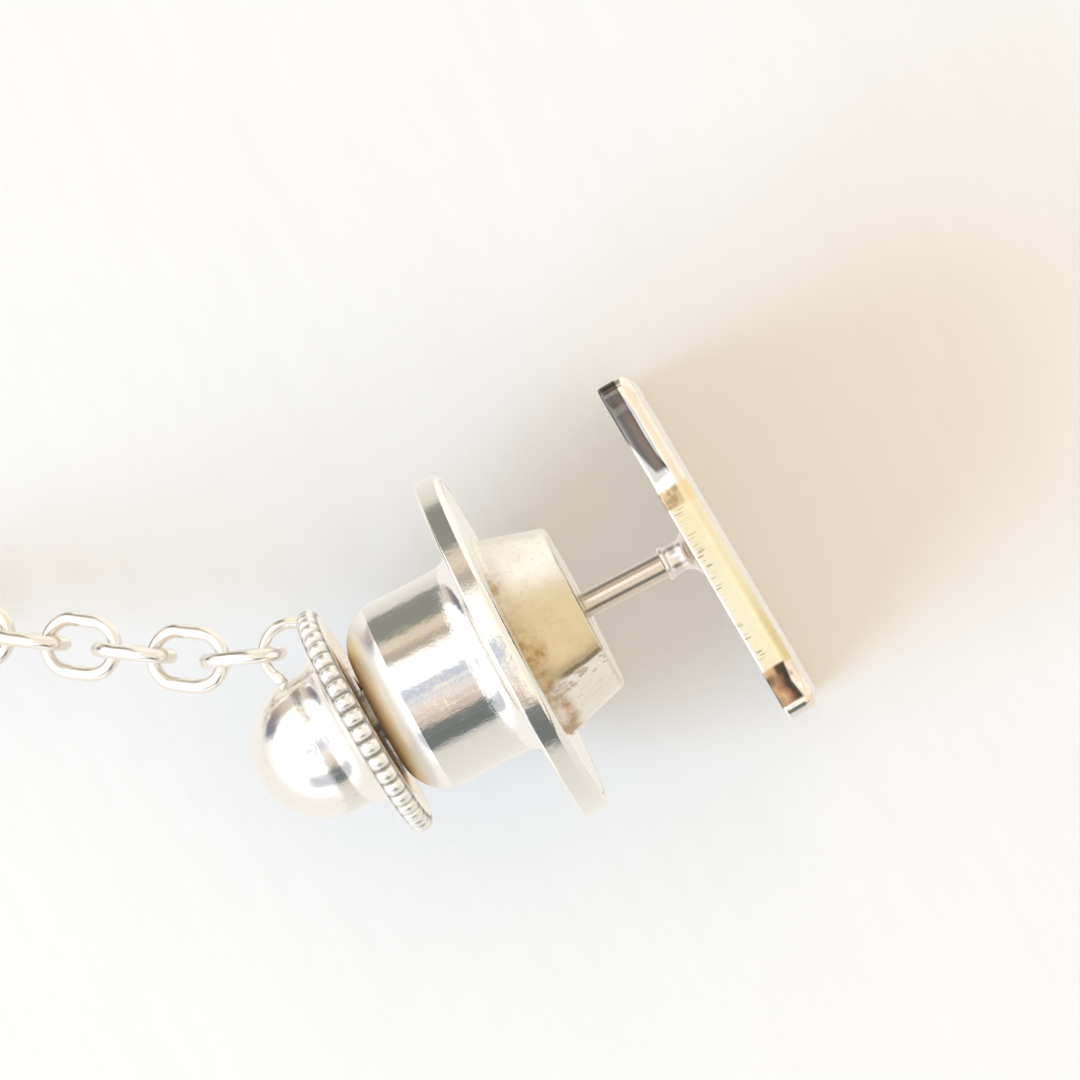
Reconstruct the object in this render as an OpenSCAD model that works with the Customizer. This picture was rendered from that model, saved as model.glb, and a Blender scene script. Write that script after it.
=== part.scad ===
// Tie tack with a ball-lock clutch, chain and T-bar, lying on its side.
// +X runs along the pin from the knob to the front plate, +Z is up.
// The origin is on the pin's axis, where the bare pin leaves its foot.

/* [Front plate] */
// Length and height of the square front plate
plate_w = 11.5; // [11.5:0.1:12]
// Thickness of the front plate
plate_t = 1.0; // [0.7:0.05:1.2]
// Radius of the plate's upright corners
plate_corner_r = 0.45; // [0.3:0.05:0.8]
// Width of the soft bevel round the front face
plate_bevel = 0.28; // [0.15:0.01:0.35]
// Small turn of the plate out of square with the pin, as soldered
plate_skew = 2.9; // [0:0.1:3.5]
// How far the plate's middle sits to the side of the pin, as soldered
plate_shift = -0.15; // [-0.2:0.01:0]

/* [Pin] */
// Radius of the pin where the cloth sits
pin_r = 0.4; // [0.38:0.01:0.4]
// Distance from the plate's back face to the pin's point
pin_len = 9.4; // [9:0.1:9.6]
// Radius of the trumpet-shaped foot where it meets the plate
foot_r = 0.90; // [0.8:0.05:1.2]

/* [Clutch] */
// Radius of the round flange
flange_r = 5.75; // [5.5:0.05:5.75]
// Outer radius of the clutch's barrel
barrel_r = 3.12; // [3.1:0.01:3.2]
// Radius of the nose at its free end
nose_end_r = 2.7; // [2.6:0.05:2.8]
// Radius of the nose at its root
nose_root_r = 3.26; // [3.2:0.01:3.3]
// Half angle of the locking taper
taper_angle = 12; // [11:0.5:12.5]
// Radius of each locking ball
ball_r = 0.6; // [0.58:0.01:0.6]

/* [Knob] */
// Radius of the domed knob
dome_r = 2.27; // [2.2:0.01:2.3]
// Outer radius over the beads of the milled brim
brim_r = 3.87; // [3.8:0.01:3.9]
// Number of beads round the brim
bead_count = 44; // [40:1:46]
// Small cant of the knob, as pressed on its stem
knob_skew = 2.2; // [0:0.1:2.2]

/* [Chain] */
// Wire diameter of a chain link
wire_d = 0.45; // [0.4:0.01:0.45]
// Outside length of a chain link
link_l = 2.80; // [2.7:0.05:2.8]
// Outside width of a chain link
link_w = 2.1; // [2.0:0.05:2.1]
// Play between two hooked wires
link_play = 0.08; // [0.08:0.01:0.1]

/* [T-bar] */
// Length of the T-bar
bar_l = 11; // [9:0.5:12]
// Radius of the T-bar
bar_r = 0.6; // [0.5:0.05:0.6]

/* [Hidden] */
$fn = 64;
eps = 0.01;

// stations along the axis, all measured from the plate's back face
x_foot = -1.05;        // pin side of the foot
x_nose = -3.77;        // free end of the nose
x_root = -5.65;        // root of the nose's cone
x_face = -5.90;        // pin side of the flange
x_flange = -6.72;      // barrel side of the flange
x_fillet = -7.40;      // start of the barrel's fillet
x_crease = -9.84;      // where the barrel's drawn end starts to round over
x_end = -10.90;        // closed end of the barrel
x_floor = -10.18;      // inside of the barrel's closed end
x_brim = -11.05;       // barrel side of the brim
x_brim2 = -11.76;      // dome side of the brim
x_dome = -12.81;       // centre of the dome
x_balls = -5.90;       // centre plane of the locking balls
sleeve_x1 = -4.45;     // narrow end of the taper
sleeve_x0 = -7.60;     // wide end of the taper
ball_at = pin_r + ball_r + 0.01;
taper_r = ball_at + (ball_r + 0.01) / cos(taper_angle) - (sleeve_x1 - x_balls) * tan(taper_angle);

// points on an arc in a profile: centre [r, x], radius, start and end angle
function arc(c, r, a0, a1, n = 8) = [for (i = [0:n]) let (a = a0 + (a1 - a0) * i / n) [c[0] + r * cos(a), c[1] + r * sin(a)]];

// solid of revolution about the X axis from points [radius, x]
module turned(pts) {
    rotate([0, 90, 0]) rotate_extrude($fn = 96) polygon(pts);
}
// round rod or hole along the X axis from x0 to x1
module rod(r, x0, x1, n = 64) {
    translate([x0, 0, 0]) rotate([0, 90, 0]) cylinder(r = r, h = x1 - x0, $fn = n);
}

// moves the origin from the plate's back face to the pin's shoulder
module placed() {
    translate([-x_foot, 0, 0]) children();
}

// ---------- tack ----------
module plate_outline(inset) {
    w = plate_w / 2 - inset;
    r = plate_corner_r - inset / 2;
    union() {
        square([2 * w, 2 * (w - r)], center = true);
        square([2 * (w - r), 2 * w], center = true);
        for (sx = [-1, 1], sy = [-1, 1]) translate([sx * (w - r), sy * (w - r)]) circle(r = r, $fn = 32);
    }
}
module front_plate() {
    steps = 4;
    color([0.86, 0.84, 0.79])
    rotate([0, 0, plate_skew]) translate([0, plate_shift, 0]) rotate([0, 90, 0]) union() {
        linear_extrude(plate_t - plate_bevel) plate_outline(0);
        // rounded front edge in thin steps that follow a quarter circle
        for (i = [1:steps]) {
            a = 90 * i / steps;
            a0 = 90 * (i - 1) / steps;
            translate([0, 0, plate_t - plate_bevel + plate_bevel * sin(a0) - eps])
                linear_extrude(plate_bevel * (sin(a) - sin(a0)) + eps)
                    plate_outline(plate_bevel * (1 - cos((a + a0) / 2)));
        }
    }
}
module pin_foot() {
    gap = foot_r * tan(plate_skew) + 0.01;
    color([0.80, 0.78, 0.76]) difference() {
        turned(concat(
            [[0.405, x_foot], [0.46, x_foot]],
            arc([0.46, x_foot + 0.09], 0.09, -90, 90, 6),
            arc([0.47 + 0.43, x_foot + 0.52], 0.43, 180, 96, 8),
            [[foot_r, -gap - 0.02], [foot_r, -gap], [0.405, -gap]]
        ));
    }
}
module tack_pin() {
    tip = -pin_len;
    color([0.75, 0.73, 0.72]) turned([
        [0, tip], [0.06, tip + 0.03], [pin_r - 0.02, tip + 0.95],
        [pin_r - 0.02, tip + 1.15], [pin_r - 0.10, tip + 1.22], [pin_r - 0.10, tip + 1.45], [pin_r - 0.02, tip + 1.52],
        [pin_r, x_nose + 0.05], [pin_r, x_foot], [pin_r - 0.03, -0.03], [0, -0.03]
    ]);
}

// ---------- clutch ----------
module clutch_shell() {
    in_r = 2.72;
    // the end is an arc that leaves the barrel at a soft crease and meets the flat end steeply
    cap_r = (x_crease - x_end) / (sin(75) - sin(15));
    color([0.88, 0.87, 0.86]) turned(concat(
        [[1.3, x_end]],
        arc([barrel_r - cap_r * cos(15), x_crease + cap_r * sin(15)], cap_r, -75, -15, 8),
        [[barrel_r, x_fillet]],
        arc([barrel_r + 0.68, x_fillet], 0.68, 180, 90, 8),
        [[flange_r - 0.10, x_flange]],
        arc([flange_r - 0.10, x_flange + 0.10], 0.10, -90, 0, 4),
        arc([flange_r - 0.24, x_face - 0.24], 0.24, 0, 90, 6),
        [[in_r, x_face], [in_r, x_floor], [1.3, x_floor]]
    ));
}
module nose_bushing() {
    color([0.90, 0.84, 0.70]) turned(concat(
        [[0.5, x_nose - 0.30], [0.75, x_nose], [nose_end_r - 0.12, x_nose]],
        [[nose_end_r, x_nose - 0.12], [nose_root_r, x_root]],
        [[nose_root_r - 0.05, x_root - 0.06], [3.36, x_root - 0.10], [3.36, x_face + 0.005]],
        [[2.70, x_face + 0.005], [2.70, -7.45], [2.32, -7.45], [2.32, sleeve_x1 + 0.03], [0.5, sleeve_x1 + 0.03]]
    ));
}
module taper_sleeve() {
    r1 = taper_r;
    r0 = taper_r + (sleeve_x1 - sleeve_x0) * tan(taper_angle);
    color([0.62, 0.63, 0.66]) turned([
        [r1, sleeve_x1], [2.27, sleeve_x1], [2.27, sleeve_x0], [r0, sleeve_x0]
    ]);
}
module ball_cage() {
    color([0.78, 0.66, 0.38]) difference() {
        turned([
            [0.46, -4.80], [1.2, -4.80], [1.2, -7.80], [2.5, -7.80], [2.5, -8.00],
            [1.62, -8.00], [1.62, -8.30], [1.42, -8.30], [1.42, -7.98], [0.46, -7.98]
        ]);
        for (a = [0, 120, 240])
            translate([x_balls, 0, 0]) rotate([a, 0, 0]) cylinder(r = ball_r + 0.03, h = 2, $fn = 48);
    }
}
module cage_cap() {
    color([0.78, 0.66, 0.38]) turned([[0.9, -8.32], [1.62, -8.32], [1.62, -8.52], [0.9, -8.52]]);
}
module locking_ball(a) {
    color([0.70, 0.71, 0.74]) rotate([a, 0, 0]) translate([x_balls, 0, ball_at]) sphere(r = ball_r, $fn = 48);
}
module locking_ball_1() { locking_ball(0); }
module locking_ball_2() { locking_ball(120); }
module locking_ball_3() { locking_ball(240); }
module guide_washer() {
    color([0.80, 0.68, 0.42]) turned([[0.9, -9.88], [2.68, -9.88], [2.68, -10.17], [0.9, -10.17]]);
}

// open coil as a swept tube: a ring of side points at each step of the helix
module clutch_spring() {
    turns = 2.5; mean_r = 2.1; w = 0.10; sides = 8; per_turn = 24;
    x0 = -8.00 - w - 0.02; x1 = -9.88 + w + 0.02;
    n = turns * per_turn;
    pts = [for (i = [0:n]) let (a = 360 * i / per_turn, x = x0 + (x1 - x0) * i / n)
        for (j = [0:sides - 1]) let (b = 360 * j / sides)
            [x + w * sin(b), (mean_r + w * cos(b)) * cos(a), (mean_r + w * cos(b)) * sin(a)]];
    walls = [for (i = [0:n - 1], j = [0:sides - 1]) let (k = (j + 1) % sides)
        [i * sides + j, i * sides + k, (i + 1) * sides + k, (i + 1) * sides + j]];
    ends = [[for (j = [sides - 1:-1:0]) j], [for (j = [0:sides - 1]) n * sides + j]];
    color([0.66, 0.66, 0.68]) polyhedron(points = pts, faces = concat(walls, ends), convexity = 6);
}

// ---------- knob ----------
module plunger_stem() {
    color([0.74, 0.74, 0.76]) turned([
        [0.55, -8.01], [1.38, -8.01], [1.38, -8.27], [0.85, -8.27], [0.85, -13.10], [0, -13.10],
        [0, -10.60], [0.55, -10.40]
    ]);
}
// cants the knob about the middle of the brim's barrel side
module canted() {
    translate([x_brim, 0, 0]) rotate([0, 0, knob_skew]) translate([-x_brim, 0, 0]) children();
}
// dome, flare and brim without beads or bore; g grows the form a little on the chain's side
module knob_form(g = 0) {
    turned(concat(
        [[0, x_brim], [brim_r - 0.25, x_brim], [brim_r - 0.17, x_brim - 0.08], [brim_r - 0.17, x_brim2 + 0.10], [brim_r - 0.30, x_brim2 - g]],
        arc([dome_r + 0.85, x_brim2 - 0.85], 0.85 - g, 90, 180, 8),
        arc([0, x_dome], dome_r + g, 0, -90, 16)
    ));
}
module knob_cap() {
    bead = 0.25;
    color([0.88, 0.87, 0.86]) difference() {
        canted() difference() {
            union() {
                knob_form();
                for (i = [0:bead_count - 1])
                    rotate([360 * i / bead_count, 0, 0]) translate([0, brim_r - bead, 0])
                        rod(bead, x_brim2 + 0.06, x_brim - 0.06, 24);
            }
            // punch mark on the dome
            rotate([-8, 0, 0]) translate([x_dome - 0.22, 0, dome_r - 0.25]) cylinder(r = 0.10, h = 0.5, $fn = 24);
        }
        // bore for the stem, true to the pin
        rod(0.87, -13.15, x_brim + 1);
    }
}

eye_m = 0.90;
eye_w = 0.18;
eye_c = [-12.395, 2.88, 0];
// part of a ring, soldered across the corner between the brim and the dome
module chain_eye() {
    color([0.86, 0.85, 0.83]) difference() {
        translate(eye_c) rotate_extrude($fn = 64) translate([eye_m, 0]) circle(r = eye_w, $fn = 24);
        canted() union() {
            knob_form(0.01);
            translate([x_brim2 - 0.01, -6, -2]) cube([3, 12, 4]);
        }
    }
}

// ---------- chain ----------
// heading of each link, from -X towards +Y, and its dip below level
heading = [21.5, 33, 33, 34, 34, 28, 28, 16, 16, -6, -6, -30, -30, -54, -54, -78, -78];
dip = [17, 17, 19, 19, 17, 17, 14, 14, 7, 7, 0.4, 0.4, 0, 0, 0, 0, 0];
wire_r = wire_d / 2;
reach = link_l - wire_d;             // between the two bows' wire centres
hook = wire_d + link_play;           // between two hooked wire centres
function unit(k) = [-cos(heading[k]) * cos(dip[k]), sin(heading[k]) * cos(dip[k]), -sin(dip[k])];
// far bow of link k; k = -1 is the eye's own wire
function bow(k) = k < 0
    ? eye_c + eye_m * [-cos(heading[0]), sin(heading[0]), 0]
    : bow(k - 1) + unit(k) * (reach - (k == 0 ? eye_w + wire_r + link_play : hook));

// one oval link in the XY plane, long way along X, built from two bows and two bars
module oval_link() {
    m = (link_w - wire_d) / 2;
    s = reach / 2 - m;
    union() {
        for (e = [-1, 1]) {
            translate([e * s, 0, 0]) intersection() {
                rotate_extrude($fn = 48) translate([m, 0]) circle(r = wire_r, $fn = 24);
                translate([e > 0 ? 0 : -5, -5, -5]) cube([5, 10, 10]);
            }
            translate([-s, e * m, 0]) rotate([0, 90, 0]) cylinder(r = wire_r, h = 2 * s, $fn = 24);
        }
    }
}
// link number k lies flat when k is odd and stands on edge when k is even
module chain_link(k) {
    c = bow(k) - unit(k) * reach / 2;
    color([0.83, 0.81, 0.77]) translate(c)
        rotate([0, 0, -heading[k]]) rotate([0, -dip[k], 0]) rotate([k % 2 == 0 ? 90 : 0, 0, 0]) oval_link();
}
module chain_link_01() { chain_link(0); }
module chain_link_02() { chain_link(1); }
module chain_link_03() { chain_link(2); }
module chain_link_04() { chain_link(3); }
module chain_link_05() { chain_link(4); }
module chain_link_06() { chain_link(5); }
module chain_link_07() { chain_link(6); }
module chain_link_08() { chain_link(7); }
module chain_link_09() { chain_link(8); }
module chain_link_10() { chain_link(9); }
module chain_link_11() { chain_link(10); }
module chain_link_12() { chain_link(11); }
module chain_link_13() { chain_link(12); }
module chain_link_14() { chain_link(13); }
module chain_link_15() { chain_link(14); }
module chain_link_16() { chain_link(15); }
module chain_link_17() { chain_link(16); }

// round-ended bar with an eye at its middle, hooked in the last link
module t_bar() {
    n = len(heading) - 1;
    loop_m = 0.8;
    z = -flange_r + bar_r;
    c = bow(n) + unit(n) * (loop_m - hook - 0.06);
    color([0.86, 0.85, 0.83]) translate([c[0], c[1], z]) rotate([0, 0, -heading[n]]) union() {
        translate([0, 0, 0.20]) rotate_extrude($fn = 64) translate([loop_m, 0]) circle(r = 0.225, $fn = 24);
        translate([-loop_m - 0.45, 0, 0]) {
            rotate([90, 0, 0]) cylinder(r = bar_r, h = bar_l - 2 * bar_r, center = true, $fn = 48);
            for (e = [-1, 1]) translate([0, e * (bar_l / 2 - bar_r), 0]) sphere(r = bar_r, $fn = 48);
        }
    }
}

placed() front_plate();
placed() pin_foot();
placed() tack_pin();
placed() clutch_shell();
placed() nose_bushing();
placed() taper_sleeve();
placed() ball_cage();
placed() cage_cap();
placed() locking_ball_1();
placed() locking_ball_2();
placed() locking_ball_3();
placed() clutch_spring();
placed() guide_washer();
placed() plunger_stem();
placed() knob_cap();
placed() chain_eye();
placed() chain_link_01();
placed() chain_link_02();
placed() chain_link_03();
placed() chain_link_04();
placed() chain_link_05();
placed() chain_link_06();
placed() chain_link_07();
placed() chain_link_08();
placed() chain_link_09();
placed() chain_link_10();
placed() chain_link_11();
placed() chain_link_12();
placed() chain_link_13();
placed() chain_link_14();
placed() chain_link_15();
placed() chain_link_16();
placed() chain_link_17();
placed() t_bar();
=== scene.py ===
import math

import bmesh
import bpy
from mathutils import Matrix, Vector, noise


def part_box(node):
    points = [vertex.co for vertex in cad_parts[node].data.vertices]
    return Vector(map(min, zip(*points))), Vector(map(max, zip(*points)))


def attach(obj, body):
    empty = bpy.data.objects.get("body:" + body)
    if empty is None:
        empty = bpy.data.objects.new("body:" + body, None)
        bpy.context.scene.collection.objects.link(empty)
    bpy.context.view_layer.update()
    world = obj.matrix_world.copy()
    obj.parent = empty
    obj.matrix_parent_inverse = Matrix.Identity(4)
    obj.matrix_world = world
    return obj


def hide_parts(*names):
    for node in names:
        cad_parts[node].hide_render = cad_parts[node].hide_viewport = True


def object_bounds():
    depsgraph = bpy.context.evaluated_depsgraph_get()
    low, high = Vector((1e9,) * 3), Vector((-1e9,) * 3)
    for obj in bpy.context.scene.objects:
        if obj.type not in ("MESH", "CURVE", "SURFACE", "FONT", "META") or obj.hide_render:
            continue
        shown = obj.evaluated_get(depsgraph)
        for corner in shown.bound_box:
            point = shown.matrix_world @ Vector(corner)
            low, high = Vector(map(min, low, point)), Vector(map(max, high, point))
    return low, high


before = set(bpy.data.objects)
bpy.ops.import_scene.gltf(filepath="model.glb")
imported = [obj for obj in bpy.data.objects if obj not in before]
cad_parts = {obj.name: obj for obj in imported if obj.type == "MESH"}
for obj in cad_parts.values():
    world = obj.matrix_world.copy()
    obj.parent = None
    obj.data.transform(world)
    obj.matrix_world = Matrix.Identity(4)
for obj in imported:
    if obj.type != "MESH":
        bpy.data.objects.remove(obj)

cad_lo, cad_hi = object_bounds()

MM = 0.001
scene = bpy.context.scene

# ------------------------------------------------------------------ stations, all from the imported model, in mm
box = {n: tuple(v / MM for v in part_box(n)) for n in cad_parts}
FACE = box["clutch_shell"][1].x            # pin side of the flange
OX = FACE + 5.90                           # the plate's back face is at X = OX
FLOOR = cad_lo.z / MM


def S(x):
    """A station measured from the plate's back face, as X in mm."""
    return x + OX


# ------------------------------------------------------------------ camera
def make_camera():
    roll, tilt, side = map(math.radians, (27.506, 2.157, 0.521))
    right = Vector((math.cos(roll), -math.sin(roll), 0))
    up = Vector((math.sin(roll), math.cos(roll), 0))
    back = Vector((0, 0, 1))
    lean = Matrix.Rotation(side, 3, "X") @ Matrix.Rotation(tilt, 3, "Y")
    right, up, back = lean @ right, lean @ up, lean @ back
    target = Vector((-2.9985, 2.4237, 0.0)) * MM
    dist = 0.220
    data = bpy.data.cameras.new("camera")
    data.sensor_width = 36.0
    data.lens = 36.0 * 7167.0 / 1080.0
    data.clip_start, data.clip_end = 0.01, 20.0
    cam = bpy.data.objects.new("camera", data)
    cam.matrix_world = Matrix((
        (right.x, up.x, back.x, target.x + back.x * dist),
        (right.y, up.y, back.y, target.y + back.y * dist),
        (right.z, up.z, back.z, target.z + back.z * dist),
        (0, 0, 0, 1)))
    scene.collection.objects.link(cam)
    scene.camera = cam


make_camera()


# ------------------------------------------------------------------ node helpers
class Nodes:
    """A short way to write a shader graph."""

    def __init__(self, tree):
        self.t = tree
        self.n = tree.nodes
        self.n.clear()

    def add(self, kind, **props):
        node = self.n.new(kind)
        for k, v in props.items():
            setattr(node, k, v)
        return node

    def link(self, a, b):
        self.t.links.new(a, b)

    def put(self, socket, value):
        if hasattr(value, "is_output") or isinstance(value, bpy.types.NodeSocket):
            self.link(value, socket)
        else:
            socket.default_value = value

    def math(self, op, a, b=0.0, c=None, clamp=False):
        m = self.add("ShaderNodeMath", operation=op, use_clamp=clamp)
        self.put(m.inputs[0], a)
        self.put(m.inputs[1], b)
        if c is not None:
            self.put(m.inputs[2], c)
        return m.outputs[0]

    def coords(self):
        if not hasattr(self, "_tc"):
            self._tc = self.add("ShaderNodeTexCoord")
            sep = self.add("ShaderNodeSeparateXYZ")
            self.link(self._tc.outputs["Object"], sep.inputs[0])
            self._sep = sep
        return self._tc.outputs["Object"]

    def axis(self, i):
        """A coordinate in mm."""
        self.coords()
        return self.math("MULTIPLY", self._sep.outputs[i], 1000.0)

    def scaled(self, sx, sy, sz, loc=(0, 0, 0)):
        m = self.add("ShaderNodeMapping")
        m.inputs["Scale"].default_value = (sx, sy, sz)
        m.inputs["Location"].default_value = loc
        self.link(self.coords(), m.inputs["Vector"])
        return m.outputs[0]

    def noise(self, vector, scale=1.0, detail=3.0, rough=0.55, dist=0.0):
        t = self.add("ShaderNodeTexNoise")
        self.link(vector, t.inputs["Vector"])
        t.inputs["Scale"].default_value = scale
        t.inputs["Detail"].default_value = detail
        t.inputs["Roughness"].default_value = rough
        t.inputs["Distortion"].default_value = dist
        return t.outputs["Fac"]

    def voronoi(self, vector, scale=1.0, feature="F1"):
        t = self.add("ShaderNodeTexVoronoi", feature=feature)
        self.link(vector, t.inputs["Vector"])
        t.inputs["Scale"].default_value = scale
        return t.outputs["Distance"]

    def ramp(self, fac, stops, interpolation="LINEAR"):
        r = self.add("ShaderNodeValToRGB")
        r.color_ramp.interpolation = interpolation
        els = r.color_ramp.elements
        while len(els) < len(stops):
            els.new(0.5)
        for e, (p, c) in zip(els, sorted(stops, key=lambda s: s[0])):
            e.position = p
            e.color = (*c, 1.0) if len(c) == 3 else c
        self.put(r.inputs[0], fac)
        return r.outputs[0]

    def step(self, x, lo, hi):
        """0 below lo, 1 above hi, smooth between."""
        m = self.add("ShaderNodeMapRange", interpolation_type="SMOOTHSTEP")
        self.put(m.inputs["Value"], x)
        m.inputs["From Min"].default_value = lo
        m.inputs["From Max"].default_value = hi
        m.inputs["To Min"].default_value = 0.0
        m.inputs["To Max"].default_value = 1.0
        return m.outputs[0]

    def band(self, x, lo, hi, soft):
        return self.math("MULTIPLY", self.step(x, lo - soft, lo + soft),
                         self.math("SUBTRACT", 1.0, self.step(x, hi - soft, hi + soft)))

    def mix(self, fac, a, b, blend="MIX"):
        m = self.add("ShaderNodeMix", data_type="RGBA", blend_type=blend)
        self.put(m.inputs[0], fac)
        for s, v in ((m.inputs[6], a), (m.inputs[7], b)):
            if isinstance(v, tuple) and len(v) == 3:
                v = (*v, 1.0)
            self.put(s, v)
        return m.outputs[2]

    def maprange(self, x, a0, a1, b0, b1):
        m = self.add("ShaderNodeMapRange")
        self.put(m.inputs["Value"], x)
        for k, v in (("From Min", a0), ("From Max", a1), ("To Min", b0), ("To Max", b1)):
            m.inputs[k].default_value = v
        return m.outputs[0]

    def bump(self, height, strength, distance, normal=None):
        b = self.add("ShaderNodeBump")
        b.inputs["Strength"].default_value = strength
        b.inputs["Distance"].default_value = distance
        self.link(height, b.inputs["Height"])
        if normal is not None:
            self.link(normal, b.inputs["Normal"])
        return b.outputs[0]


def new_material(name):
    m = bpy.data.materials.new(name)
    m.use_nodes = True
    g = Nodes(m.node_tree)
    out = g.add("ShaderNodeOutputMaterial")
    bsdf = g.add("ShaderNodeBsdfPrincipled")
    g.link(bsdf.outputs[0], out.inputs[0])
    bsdf.inputs["Metallic"].default_value = 1.0
    return m, g, bsdf


def fine_scratches(g, along=(40.0, 4200.0, 4200.0), level=0.60):
    """Sparse hair lines that run along the axis with the small scale."""
    n = g.noise(g.scaled(*along), 1.0, 1.0, 0.4, 0.0)
    return g.step(n, level, level + 0.07)


def metal(name, base, warm, warm_amount, rough, rough_var, lathe=0.0, scratch=0.05, wobble=0.0,
          grain=0.0, speck=0.0, along=(60.0, 5200.0, 5200.0), radial=False, specular=0.5):
    """Procedural metal: slow colour drift towards a warm tone, cloudy roughness, lathe lines across X, hair scratches, small pits."""
    m, g, b = new_material(name)
    v = g.coords()
    drift = g.noise(g.scaled(420, 420, 420, (3.1, 1.7, 0.4)), 1.0, 4.0, 0.6)
    fine = g.noise(g.scaled(3800, 3800, 3800, (0.3, 2.2, 5.0)), 1.0, 3.0, 0.55)
    haze = g.noise(g.scaled(1100, 1100, 1100, (7.0, 0.3, 2.0)), 1.0, 4.0, 0.6)
    fac = g.math("MULTIPLY", g.step(drift, 0.42, 0.72), warm_amount)
    col = g.mix(fac, base, warm)
    if speck:
        spots = g.math("MULTIPLY", g.step(fine, 0.60, 0.74), speck)
        col = g.mix(spots, col, tuple(0.45 * c for c in warm))
    g.link(col, b.inputs["Base Color"])
    sc = fine_scratches(g, along)
    r = g.math("ADD", rough, g.math("MULTIPLY", g.math("SUBTRACT", haze, 0.5), rough_var))
    r = g.math("ADD", r, g.math("MULTIPLY", sc, scratch), clamp=True)
    g.link(r, b.inputs["Roughness"])
    b.inputs["Specular IOR Level"].default_value = specular
    normal = None
    if wobble:
        slow = g.noise(g.scaled(700, 700, 700, (1.0, 4.0, 2.0)), 1.0, 2.0, 0.5)
        normal = g.bump(slow, 1.0, wobble)
    if lathe:
        rings = g.noise(g.scaled(9000, 15, 15), 1.0, 2.0, 0.6)
        normal = g.bump(rings, 1.0, lathe, normal)
    if grain:
        normal = g.bump(fine, 1.0, grain, normal)
    if normal is not None:
        g.link(normal, b.inputs["Normal"])
    return m


# ------------------------------------------------------------------ materials
SILVER = (0.935, 0.925, 0.905)
WARM = (0.88, 0.79, 0.64)

mat_silver = metal("polished_silver", SILVER, WARM, 0.22, 0.085, 0.06, lathe=0.0000010, scratch=0.06,
                   wobble=0.0000034, grain=0.0000022)
mat_pin = metal("pin_steel", (0.76, 0.69, 0.61), (0.72, 0.57, 0.47), 0.55, 0.20, 0.08, scratch=0.10,
                wobble=0.0000014, grain=0.0000008, along=(30.0, 6500.0, 6500.0))
mat_wire = metal("chain_wire", (0.91, 0.885, 0.86), (0.86, 0.76, 0.64), 0.55, 0.21, 0.10, scratch=0.0,
                 wobble=0.0000040, grain=0.0000010, speck=0.10)
mat_foot = metal("dull_foot", (0.84, 0.79, 0.74), (0.80, 0.68, 0.56), 0.45, 0.24, 0.10, wobble=0.0000020, grain=0.0000020)
mat_stem = metal("plated_stem", (0.93, 0.91, 0.87), (0.90, 0.80, 0.66), 0.5, 0.30, 0.08, lathe=0.0000010)
mat_hard = metal("ground_steel", (0.60, 0.61, 0.64), (0.55, 0.50, 0.45), 0.2, 0.22, 0.10, lathe=0.000002, scratch=0.10)
mat_ball = metal("ball_steel", (0.72, 0.73, 0.76), (0.66, 0.62, 0.58), 0.15, 0.05, 0.03, scratch=0.04, grain=0.0000003)
mat_spring = metal("spring_steel", (0.62, 0.62, 0.65), (0.60, 0.52, 0.44), 0.25, 0.20, 0.10, scratch=0.12)
mat_brass = metal("turned_brass", (0.86, 0.68, 0.36), (0.62, 0.44, 0.20), 0.35, 0.20, 0.10, lathe=0.000002, scratch=0.10)


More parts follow.
